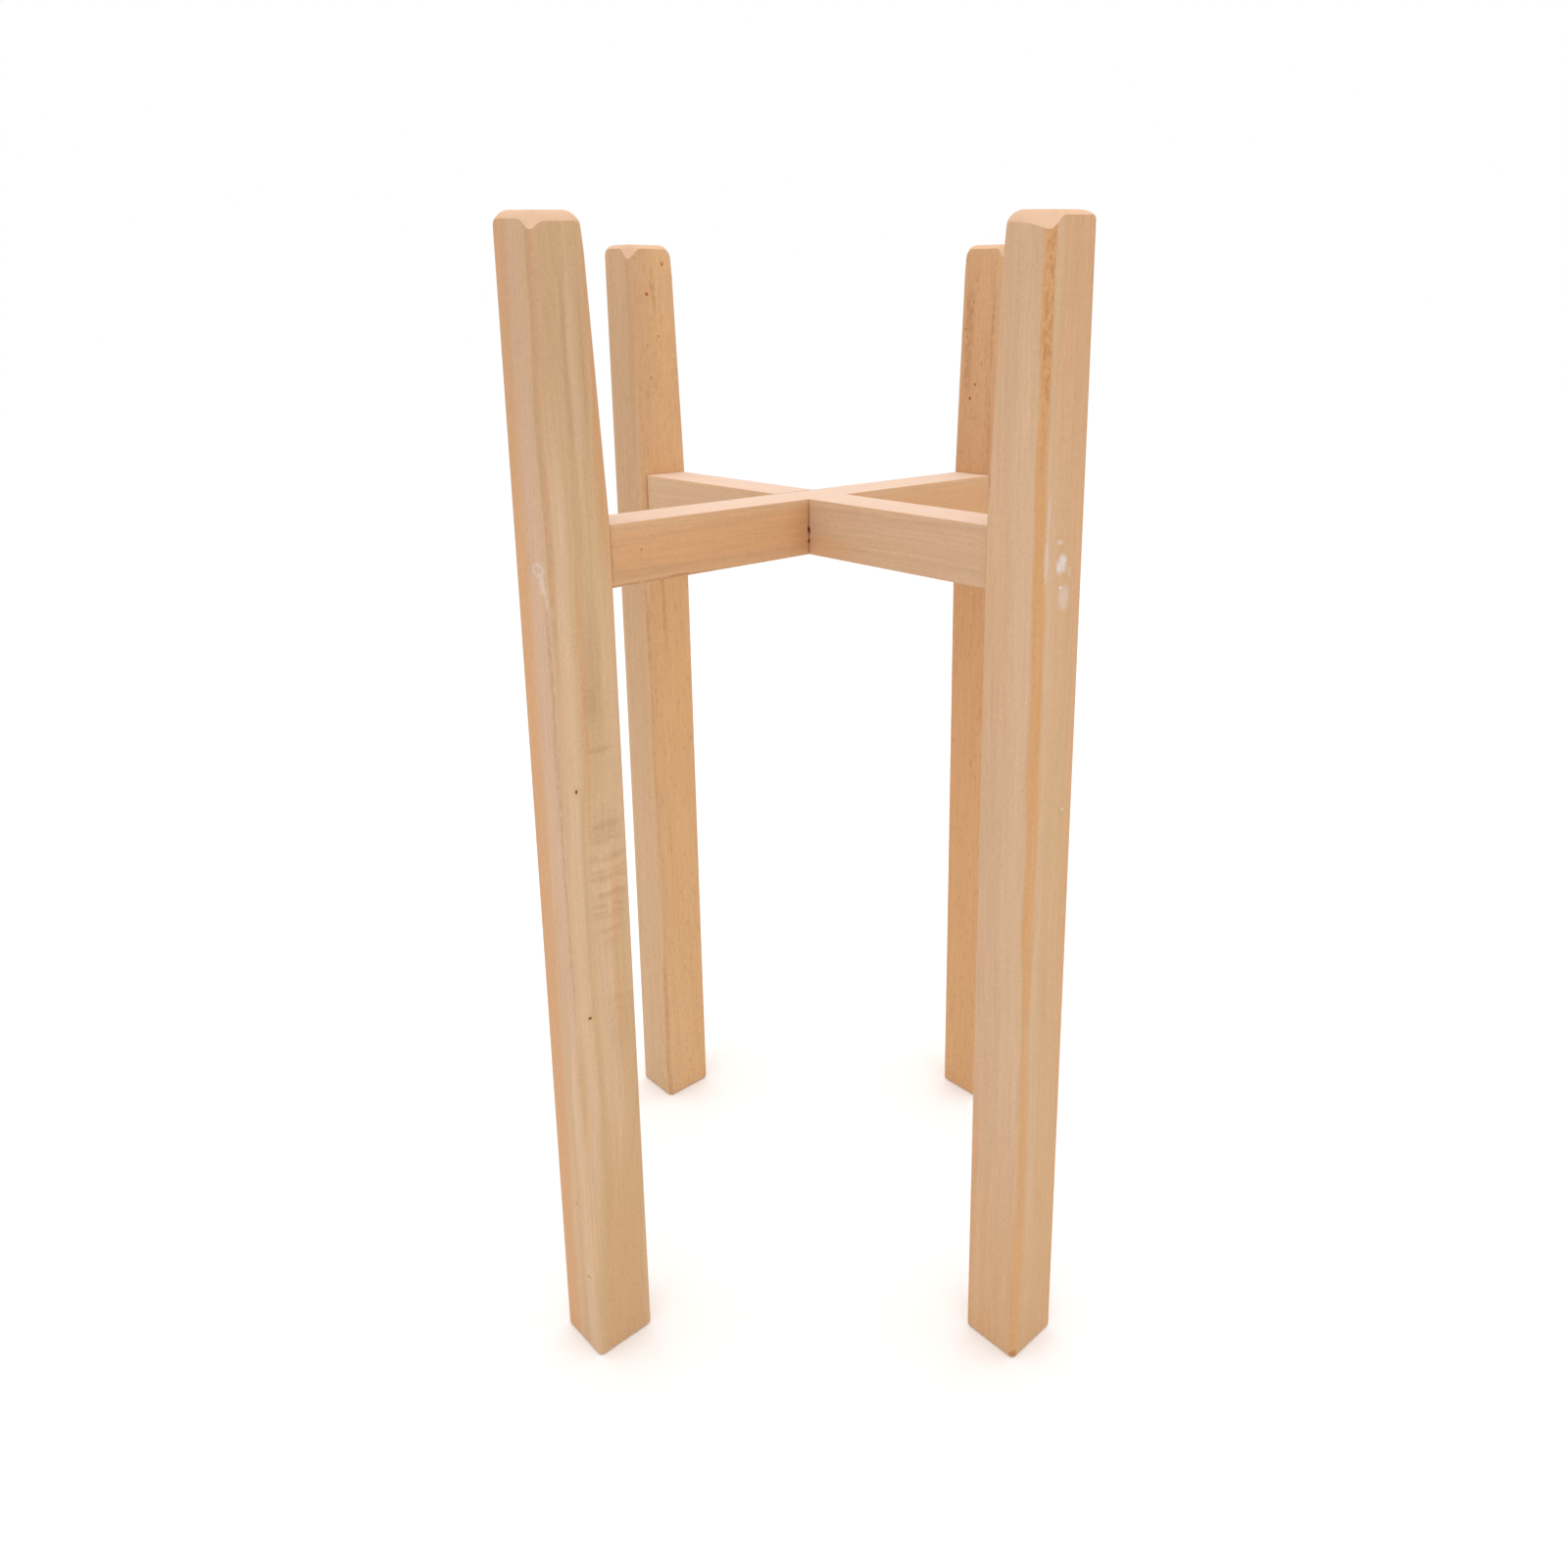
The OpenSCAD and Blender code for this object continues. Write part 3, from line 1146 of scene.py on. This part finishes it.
def front_left_wood() -> SawnWood:
    """Gives the front left leg's wood: an orange edge, a grey-pink band and a ring of filler.

    Returns:
        The wood.
    """
    outer, side = Face("yxz", -198), Face("xyz", 19)
    core = Face("yxz", -179)
    streaks = (
        side.streak(-176, FOOT, -178, TOP, 20, Tone.OLIVE, 0.6, 120),
        outer.streak(-9, FOOT, -11, TOP, 9, Tone.WARM, 0.95, 120, 0.2),
        outer.streak(-19, FOOT, -19, TOP, 4.5, Tone.AMBER, 0.5, speckle=0.4),
        outer.streak(13, FOOT, 8, 230, 3.6, Tone.PALE, 0.5, 60, 0.3),
        outer.streak(8, 200, 5, 470, 7.5, Tone.ROSY, 0.75, 120),
        outer.streak(5, 380, 2, 700, 9, Tone.ROSY, 0.8, 120),
        outer.streak(14, 240, 11, 470, 2.8, Tone.DARK, 0.75, 60, 0.7),
        outer.streak(17.5, 430, 16, TOP, 3, Tone.DARK, 0.75, 60, 0.4),
        side.streak(-193, 120, -193, 560, 5, Tone.PALE, 0.75, 140),
        side.streak(-190, 30, -171, 200, 1.8, Tone.PALE, 0.6, 60, 0.3),
        side.streak(-187, 10, -163, 170, 1.4, Tone.DARK, 0.45, 60, 0.3),
        side.streak(-188, 40, -181, 210, 1.2, Tone.DARK, 0.4, 60, 0.3),
        side.streak(-183.5, 330, -184, 560, 1.8, Tone.WARM, 0.7, 60, 0.3),
        side.streak(-190, 560, -189, TOP, 4.5, Tone.OLIVE, 0.6, 60),
        side.streak(-181, 500, -185.5, TOP, 1.8, Tone.DARK, 0.7, 60, 0.3),
        side.streak(-178, 520, -180.5, TOP, 2.8, Tone.PALE, 0.75),
        side.streak(-172, 540, -175, TOP, 1.8, Tone.DARK, 0.5, 60, 0.3),
        side.streak(-163, 500, -167, TOP, 6, Tone.WARM, 0.9, 90, 0.2),
        side.streak(-168, 290, -166, 480, 7, Tone.PALE, 0.4, 90),
        side.streak(-177, 400, -178, 470, 6, Tone.DARK, 0.4, 60, 0.3),
        side.streak(-178, 140, -179, 350, 9, Tone.PALE, 0.6, 100),
        side.streak(-172, 180, -171, 330, 2.4, Tone.WARM, 0.5, 60),
        side.streak(-176, FOOT, -176, 130, 17, Tone.WARM, 0.44, 140),
        # painted shade: the whole leg darkens towards its top, where the light falls off
        core.streak(0, 560, 0, TOP, 60, Tone.DARK, 0.46, 240),
    )
    knots = (
        side.mark(-175.5, 390, 9, 2, Tone.DARK, 0.45, 0.9),
        side.mark(-173, 345, 12, 2, Tone.DARK, 0.4, 0.9),
        side.mark(-179, 418, 4, 12, Tone.DARK, 0.4, 0.9),
        side.mark(-191, 369.5, 0.9, 1.3, Tone.KNOT, 1, 0.5, 0.3),
        side.mark(-191, 231, 1.3, 0.9, Tone.KNOT, 1, 0.5, 0.3),
        outer.mark(11, 54, 2.4, 0.6, Tone.BROWN, 0.8, 0.4),
        outer.mark(2, 101, 0.9, 0.9, Tone.BROWN, 0.7, 0.4, 0.3),
        outer.mark(-5, 651, 0.6, 0.8, Tone.BROWN, 0.35, 0.6),
    )
    smears = (
        outer.mark(6, 492, 6, 3.8, Tone.DRY_FILLER, 0.55, 1, hollow=0.6),
        outer.mark(9, 485.5, 2.6, 4, Tone.DRY_FILLER, 0.4, 1.1),
        outer.mark(10, 481.4, 3.2, 2.6, Tone.CHALKY_AND_TOP_HIGHLIGHT, 0.75, 0.9),
        outer.mark(12.6, 475.5, 1.8, 4, Tone.DRY_FILLER, 0.3, 1.2),
        outer.mark(17, 470, 1.6, 4, Tone.DRY_FILLER, 0.16, 1.2),
    )
    curls = (
        Curl((19, -174, 312), (8, 16, 55), (0, 0.06, 1), 0.48, 11),
        Curl((19, -170, 225), (8, 12, 40), (0, 0.06, 1), 0.22, 12),
    )
    return SawnWood(
        "wood.front_left", Grain.UPRIGHT, Section.LEG, pith=(46, -262, 0), seed=3.7, lean=(20, 30, 0),
        streaks=streaks, curls=curls, knots=knots, smears=smears,
    )


def front_right_wood() -> SawnWood:
    """Gives the front right leg's wood: a rosy face, a yellower one and an orange arris between them.

    Returns:
        The wood.
    """
    outer, side = Face("xyz", 198), Face("yxz", -19)
    core, arris = Face("xyz", 180), Face("xyz", 197.5)
    streaks = (
        side.streak(180, 80, 180, TOP, 22, Tone.ROSY, 0.45, 200),
        core.streak(0, FOOT, 0, 110, 60, Tone.WARM, 0.42, 200),
        side.streak(186, 150, 188, 640, 8, Tone.PALE, 0.35, 200),
        outer.streak(6, FOOT, 6, TOP, 19, Tone.WARM, 0.55),
        outer.streak(0, FOOT, 0, 420, 17, Tone.OLIVE, 0.32, 160),
        outer.streak(-14, FOOT, -15, 420, 2.6, Tone.AMBER, 0.55, 60, 0.3),
        outer.streak(-10, 60, -10, 560, 5.5, Tone.PALE, 0.22, 120, 0.3),
        outer.streak(18, FOOT, 18, TOP, 4, Tone.WARM, 0.6),
        outer.streak(4, 300, 1, 560, 5, Tone.OLIVE, 0.4, 150, 0.4),
        side.streak(163, FOOT, 163, 170, 5, Tone.WARM, 0.6, 120),
        # painted shade: the whole leg darkens towards its top, where the light falls off
        core.streak(0, 580, 0, TOP, 60, Tone.DARK, 0.2, 200),
        side.streak(197.6, FOOT, 197.6, TOP, 3.8, Tone.AMBER, 0.72, speckle=0.15),
        side.streak(197.2, 300, 197.2, TOP, 4.4, Tone.AMBER, 0.72, 260, 0.15),
        outer.streak(-19, 560, -19, TOP, 3, Tone.BROWN, 0.5, 90, 1),
    )
    knots = (
        arris.mark(-18, 3, 3, 3.2, Tone.BROWN, 0.6, 0.7),
        outer.mark(1, 108, 3, 4.5, Tone.AMBER, 0.5, 0.5),
    )
    smears = (
        outer.mark(-0.6, 494.6, 4.4, 4.8, Tone.DRY_FILLER, 0.72, 1),
        outer.mark(0.8, 497.4, 2.8, 3, Tone.DRY_FILLER, 0.6, 0.8),
        outer.mark(-3.4, 492.6, 2.2, 2.6, Tone.DRY_FILLER, 0.55, 0.8),
        outer.mark(-2.8, 507, 2.7, 1.5, Tone.DRY_FILLER, 0.45, 0.6),
        outer.mark(-1.2, 482.4, 1.6, 1.1, Tone.DRY_FILLER, 0.75, 0.4),
        outer.mark(2, 476.5, 5, 7, Tone.DRY_FILLER, 0.38, 0.9),
        outer.mark(6.2, 490.5, 1, 2.8, Tone.DRY_FILLER, 0.35, 0.6),
        outer.mark(-13.4, 522, 1.6, 9, Tone.DRY_FILLER, 0.26, 1.3),
        outer.mark(-14.2, 498, 1.8, 13, Tone.DRY_FILLER, 0.4, 1.3),
        outer.mark(8.9, 354, 0.8, 1, Tone.DRY_FILLER, 0.7, 0.3),
    )
    return SawnWood(
        "wood.front_right", Grain.UPRIGHT, Section.LEG, pith=(262, 42, 0), seed=11.3, lean=(-60, 25, 0),
        ring=11, figure=0.26, wear=0.3, streaks=streaks, knots=knots, smears=smears,
    )


def back_left_wood() -> SawnWood:
    """Gives the back left leg's wood: a golden, flecked inner face with pin knots.

    Returns:
        The wood.
    """
    outer, inner = Face("xyz", -198), Face("xyz", -160)
    side, upper = Face("yxz", -19), Face("xyz", -160, -TAPER)
    streaks = (
        inner.streak(0, FOOT, 0, TOP, 26, Tone.GOLD, 0.8),
        side.streak(-180, FOOT, -180, TOP, 21, Tone.BODY, 0.75),
        side.streak(-180, 360, -180, TOP, 24, Tone.DARK, 0.6, 400),
        upper.streak(3, 520, 4, 700, 22, Tone.DARK, 0.3, 160, 0.5),
        upper.streak(1, 625, 0, 655, 1.6, Tone.BROWN, 0.4, 16, 0.6),
        inner.streak(-4, 380, -7, 470, 2.4, Tone.BROWN, 0.35, 60, 0.6),
        side.streak(-161, FOOT, -161, 500, 2.2, Tone.BROWN, 0.4, 60, 0.6),
        side.streak(-168, 540, -170, TOP, 3.5, Tone.DARK, 0.5, 60),
    )
    knots = (
        upper.mark(-5.2, 640, 1.3, 1.4, Tone.RUST, 0.95, 0.4, 0.5),
        upper.mark(9.6, 661, 1.2, 1.3, Tone.RUST, 0.85, 0.5, 0.4),
        upper.mark(-13, 664, 0.7, 0.9, Tone.BROWN, 0.7, 0.4),
        upper.mark(-1.5, 646, 0.8, 4, Tone.BROWN, 0.4, 0.7),
        upper.mark(2.5, 611, 0.9, 1, Tone.BROWN, 0.8, 0.3),
        upper.mark(-7, 605, 0.8, 1, Tone.BROWN, 0.6, 0.4),
        upper.mark(-6, 582, 0.9, 1.1, Tone.BROWN, 0.7, 0.4),
        upper.mark(-10, 570, 0.6, 3.5, Tone.BROWN, 0.5, 0.5),
    )
    return SawnWood(
        "wood.back_left", Grain.UPRIGHT, Section.LEG, pith=(-250, 30, 0), seed=21.9, lean=(30, -20, 0),
        ring=6, figure=0.42, drift=(Tone.BODY, Tone.AMBER), mottle=0.72, stripes=0.52, flecks=0.3,
        streaks=streaks, knots=knots,
        smears=(outer.mark(1.5, 495, 4.4, 3.8, Tone.DRY_FILLER, 0.7, 0.5),),
    )


def back_right_wood() -> SawnWood:
    """Gives the back right leg's wood: the warmest of the four, flecked, with dark knots and a slit.

    Returns:
        The wood.
    """
    outer, inner = Face("yxz", 198), Face("yxz", 160)
    side, upper = Face("xyz", 19), Face("yxz", 160, TAPER)
    streaks = (
        inner.streak(0, FOOT, 0, TOP, 26, Tone.WARM, 0.8),
        side.streak(180, FOOT, 180, TOP, 18, Tone.GOLD, 0.6),
        upper.streak(2, 500, 4, 700, 7, Tone.GOLD, 0.35, 60),
        inner.streak(0, FOOT, 0, 300, 26, Tone.GOLD, 0.5, 200),
        inner.streak(0, FOOT, 0, 460, 26, Tone.AMBER, 0.22, 120),
        upper.streak(0, 480, 0, TOP, 26, Tone.DARK, 0.42, 160, 0.3),
        upper.streak(-10, 575, -11, 645, 4.5, Tone.BROWN, 0.4, 40, 0.8),
        upper.streak(13, 520, 12, 650, 1.4, Tone.BROWN, 0.35, 60, 0.6),
        inner.streak(17, FOOT, 17, 480, 1.8, Tone.BROWN, 0.35, 60, 0.4),
    )
    knots = (
        upper.mark(-6.8, 567, 1.2, 1.5, Tone.RUST, 1, 0.3, 0.6),
        upper.mark(-2.6, 577, 1, 1.3, Tone.RUST, 0.95, 0.5, 0.5),
        side.mark(166, 589, 0.7, 3.6, Tone.KNOT, 1, 0.4, 0.2),
        side.mark(169.5, 657, 1.2, 8, Tone.BROWN, 0.7, 0.5),
        upper.mark(-9, 628, 0.9, 1.6, Tone.BROWN, 0.8, 0.4),
        upper.mark(-7.5, 635, 0.7, 1.2, Tone.BROWN, 0.7, 0.4),
        upper.mark(-14, 616, 1, 1.3, Tone.BROWN, 0.8, 0.4),
        upper.mark(-12.5, 611, 0.7, 0.9, Tone.BROWN, 0.7, 0.4),
        upper.mark(2, 592, 0.6, 2, Tone.BROWN, 0.6, 0.4),
    )
    return SawnWood(
        "wood.back_right", Grain.UPRIGHT, Section.LEG, pith=(40, 250, 0), seed=33.1, lean=(-20, 30, 0),
        ring=5, figure=0.4, drift=(Tone.BODY, Tone.AMBER), mottle=0.72, stripes=0.56, flecks=0.34,
        streaks=streaks, knots=knots, smears=(outer.mark(-1, 496, 4.6, 4, Tone.DRY_FILLER, 0.65, 0.5),),
    )


def joint_lines(grain: Grain) -> tuple[Mark, ...]:
    """Gives the brown lines round a rail's two ends, where they meet the legs.

    Args:
        grain: The way the rail runs.

    Returns:
        The marks, one for each end.
    """
    reach, wide, thin = 159.6, 26.0, 0.8
    ends = (tuple(side * reach * axis for axis in grain.value) for side in (-1.0, 1.0))
    size = grain.scale(wide, thin)
    return tuple(Mark((x, y, RAIL_MIDDLE), size, Tone.BROWN, 0.85, 0.4) for x, y, _ in ends)


def under_rail_wood() -> SawnWood:
    """Gives the wood of the rail along X: a cool, rosy side towards the viewer under a painted highlight on
    top.

    Returns:
        The wood.
    """
    side = Face("yzx", -16)
    streaks = (
        side.streak(495, -END, 495, END, 20, Tone.ROSY, 0.5),
        side.streak(495, -END, 495, END, 20, Tone.DARK, 0.16, speckle=0.5),
        side.streak(509, 10, 508, END, 2.2, Tone.DARK, 0.35, speckle=0.3),
        side.streak(500, 50, 502, END, 1.4, Tone.DARK, 0.3, speckle=0.3),
        side.streak(488, 20, 486, 110, 1.4, Tone.DARK, 0.3),
        side.streak(484, 8, 484, 50, 9, Tone.WARM, 0.55),
    )
    seam = (
        side.mark(495.5, 16.2, 16, 0.45, Tone.BROWN, 0.85, 0.4),
        side.mark(493.5, 16.4, 2.4, 0.9, Tone.GAP, 1, 0.8),
        side.mark(486.8, 16.3, 1.6, 0.7, Tone.GAP, 0.9, 0.8),
    )
    # top: a painted highlight on the rail's upward faces
    return SawnWood(
        "wood.under_rail", Grain.ALONG_X, Section.RAIL, pith=(0, 40, 430), seed=45.2, lean=(0, 30, 40),
        ring=6, figure=0.2, top=Tone.CHALKY_AND_TOP_HIGHLIGHT, streaks=streaks,
        knots=(*joint_lines(Grain.ALONG_X), *seam),
    )


def over_rail_wood() -> SawnWood:
    """Gives the wood of the rail along Y: a warm side, redder towards the crossing, under a painted highlight
    on top.

    Returns:
        The wood.
    """
    side = Face("xzy", 16)
    streaks = (
        side.streak(495, -END, 495, END, 20, Tone.WARM, 0.9),
        side.streak(484, -END, 484, -10, 2.6, Tone.DARK, 0.35, speckle=0.3),
        side.streak(490, -120, 491, -40, 1.4, Tone.AMBER, 0.4),
        side.streak(503, -150, 505, -60, 1.6, Tone.DARK, 0.3, speckle=0.3),
        # painted shade: a brown line along the rounded bottom edge, which turns away from the light
        side.streak(478, -END, 478, END, 1.4, Tone.BROWN, 0.65, speckle=0.6),
        side.streak(495, -26, 495, 0, 22, Tone.BROWN, 0.2, 26),
    )
    seam = (
        side.mark(495.5, -16.3, 16, 0.45, Tone.BROWN, 0.85, 0.4),
        side.mark(494.2, -16.5, 2, 0.8, Tone.GAP, 1, 0.8),
        side.mark(486, -16.5, 1.3, 0.6, Tone.GAP, 0.9, 0.8),
        side.mark(497, -140, 0.8, 0.8, Tone.BROWN, 0.8, 0.4),
    )
    # top: a painted highlight on the rail's upward faces
    return SawnWood(
        "wood.over_rail", Grain.ALONG_Y, Section.RAIL, pith=(-40, 0, 560), seed=57.8, lean=(30, 0, -40),
        ring=5, figure=0.22, top=Tone.CHALKY_AND_TOP_HIGHLIGHT, streaks=streaks,
        knots=(*joint_lines(Grain.ALONG_Y), *seam),
    )


@dataclass
class LegSet:
    """The four legs, each cut from its own board and crowned by hand."""

    sizes: JointSizes
    woods: Mapping[Corner, SawnWood]

    def crowns(self) -> dict[Corner, Crown]:
        """Gives each leg's crown, as each was sanded a little differently.

        Returns:
            The crowns by corner.
        """
        return {
            Corner.FRONT_RIGHT: Crown(
                dip=3.5, outer=2.6, left=6.0,
                outer_left=Facet(9.9, 12.0, 36.0, flat=True),
                outer_right=Facet(6.5, 10.5, 10.5),
                inner_left=Facet(8.6, 14.2, 14.2),
            ),
            Corner.FRONT_LEFT: Crown(
                dip=3.6, right=5.3,
                outer_right=Facet(10.5, 14.3, 12.1, flat=True),
                outer_left=Facet(9.6, 13.2, 13.2),
                inner_right=Facet(9.1, 15.2, 15.2),
            ),
            Corner.BACK_LEFT: Crown(
                dip=1.3, inner=3.0, right=3.0,
                inner_right=Facet(12.0, 12.5, 9.5, flat=True),
                outer_right=Facet(10.5, 11.0, 11.0),
                inner_left=Facet(11.0, 13.5, 13.5),
            ),
            Corner.BACK_RIGHT: Crown(
                dip=1.3, inner=3.0, left=3.6,
                inner_left=Facet(12.5, 9.5, 12.0, flat=True),
                inner_right=Facet(10.5, 12.5, 12.5),
            ),
        }

    def build(self) -> None:
        """Builds the legs."""
        for corner, crown in self.crowns().items():
            Leg(corner, self.sizes, self.woods[corner], crown).build()


@dataclass
class Cross:
    """The two rails, which lap over each other in the middle."""

    sizes: JointSizes

    def build(self) -> None:
        """Builds the rails."""
        Rail("under_rail", self.sizes, under_rail_wood(), along_y=False, notch_above=True).build()
        Rail("over_rail", self.sizes, over_rail_wood(), along_y=True, notch_above=False).build()


@dataclass
class Fixings:
    """The screws, the fillers over them and the dowels beside them."""

    sizes: JointSizes
    woods: Mapping[Corner, SawnWood]
    nodes: Mapping[str, bpy.types.Object]

    def build(self) -> None:
        """Builds the fillers, with the wood's own smears on them, and dresses the hidden pieces."""
        steel = ZincSteel().material()
        dowels = {grain: self._dowel_wood(grain).material() for grain in (Grain.ALONG_X, Grain.ALONG_Y)}
        for corner in Corner:
            putty = Putty(f"putty.{corner.label}", self.woods[corner].smears)
            FillerPlug(corner, self.sizes, putty).build()
            self._dress(f"screw_{corner.label}", steel)
            self._dress(f"dowel_lower_{corner.label}", dowels[corner.grain])
            self._dress(f"dowel_upper_{corner.label}", dowels[corner.grain])

    def _dowel_wood(self, grain: Grain) -> SawnWood:
        """Gives the wood of the dowels along one axis."""
        name = f"dowel_wood.{grain.name.lower()}"
        return SawnWood(name, grain, Section.ROUND, pith=(80.0, 80.0, 420.0), seed=71.0, body=Tone.PALE)

    def _dress(self, node: str, material: Material) -> None:
        """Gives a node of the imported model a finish.

        Args:
            node: The node's name.
            material: Its finish.
        """
        for slot in self.nodes[node].material_slots:
            slot.material = material
        LOG.info("%s: dressed in %s", node, material.name)


@dataclass(frozen=True)
class PhotoCamera:
    """The camera, matched to the photograph. Degrees, and pixels of the photograph."""

    place: Point = (0.557, -0.499, 0.6137)
    turn: float = 45.41
    tilt: float = 13.45
    focal_length: float = 1195.4
    principal: tuple[float, float] = (884.0, 625.0)
    picture: float = 1600.0

    def build(self) -> None:
        """Makes the camera and hands it to the scene."""
        data = bpy.data.cameras.new("photo_camera")
        data.lens = data.sensor_width * self.focal_length / self.picture
        data.shift_x = 0.5 - self.principal[0] / self.picture
        data.shift_y = self.principal[1] / self.picture - 0.5
        camera = bpy.data.objects.new("photo_camera", data)
        camera.location = self.place
        camera.rotation_euler = (math.radians(90.0 - self.tilt), 0.0, math.radians(self.turn))
        bpy.context.scene.collection.objects.link(camera)
        bpy.context.scene.camera = camera


@dataclass(frozen=True)
class SoftBox:
    """A square area lamp overhead that points down at the stand."""

    name: str = "overhead_box"
    height: float = 2.6
    side: float = 2.4
    power: float = 18.0

    def build(self) -> None:
        """Hangs the lamp, which shines down as it is made."""
        data = bpy.data.lights.new(self.name, "AREA")
        data.shape = "SQUARE"
        data.size = self.side
        data.energy = self.power
        lamp = bpy.data.objects.new(self.name, data)
        lamp.location = (0.0, 0.0, self.height)
        bpy.context.scene.collection.objects.link(lamp)


@dataclass(frozen=True)
class Studio:
    """A white room: a wide floor, an even sky and a soft box overhead."""

    floor_radius: float = 40.0
    floor_sides: int = 96
    floor_colour: float = 0.82
    floor_shown: float = 1.0
    sky: float = 1.0

    def build(self) -> None:
        """Builds the room, the lamp and the camera."""
        self._floor()
        self._sky()
        SoftBox().build()
        PhotoCamera().build()
        bpy.context.scene.view_settings.view_transform = "Standard"

    def _seen(self, graph: Graph) -> Number:
        """Finds the rays that show the background: straight, in a gloss or through glass.

        Args:
            graph: The floor's graph.

        Returns:
            1 for such a ray and 0 for one that lights the stand.
        """
        path = graph.node("ShaderNodeLightPath")
        kinds = ("Camera", "Glossy", "Transmission")
        camera, gloss, glass = (Number(graph, path.outputs[f"Is {kind} Ray"]) for kind in kinds)
        return graph.math("MINIMUM", camera + gloss + glass, 1.0)

    def _floor(self) -> None:
        """Lays the floor."""
        mesh = bmesh.new()
        bmesh.ops.create_circle(mesh, cap_ends=True, segments=self.floor_sides, radius=self.floor_radius)
        floor = to_object("floor", mesh, Matrix.Identity(4))
        material = bpy.data.materials.new("floor_white")
        material.use_nodes = True
        graph = Graph(material.node_tree)
        level = self.floor_colour + self._seen(graph) * (self.floor_shown - self.floor_colour)
        matt = graph.node("ShaderNodeBsdfDiffuse", {"Color": graph.scaled((1.0, 1.0, 1.0), level)})
        graph.node("ShaderNodeOutputMaterial", {"Surface": matt.outputs["BSDF"]})
        floor.data.materials.append(material)

    def _sky(self) -> None:
        """Lights the room evenly from all round, with plain white behind the stand."""
        world = bpy.data.worlds.new("white_room")
        world.use_nodes = True
        bpy.context.scene.world = world
        graph = Graph(world.node_tree)
        white = {"Color": (1.0, 1.0, 1.0, 1.0), "Strength": self.sky}
        back = graph.node("ShaderNodeBackground", white)
        graph.node("ShaderNodeOutputWorld", {"Surface": back.outputs["Background"]})


def main() -> None:
    """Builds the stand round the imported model, and the studio round the stand."""
    logging.basicConfig(level=logging.INFO, format="%(name)s: %(message)s")
    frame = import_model()
    sizes = JointSizes.from_frame()
    woods = {
        Corner.FRONT_RIGHT: front_right_wood(),
        Corner.BACK_RIGHT: back_right_wood(),
        Corner.BACK_LEFT: back_left_wood(),
        Corner.FRONT_LEFT: front_left_wood(),
    }
    LegSet(sizes, woods).build()
    Cross(sizes).build()
    Fixings(sizes, woods, frame["nodes"]).build()
    Studio().build()


if __name__ == "__main__":
    main()
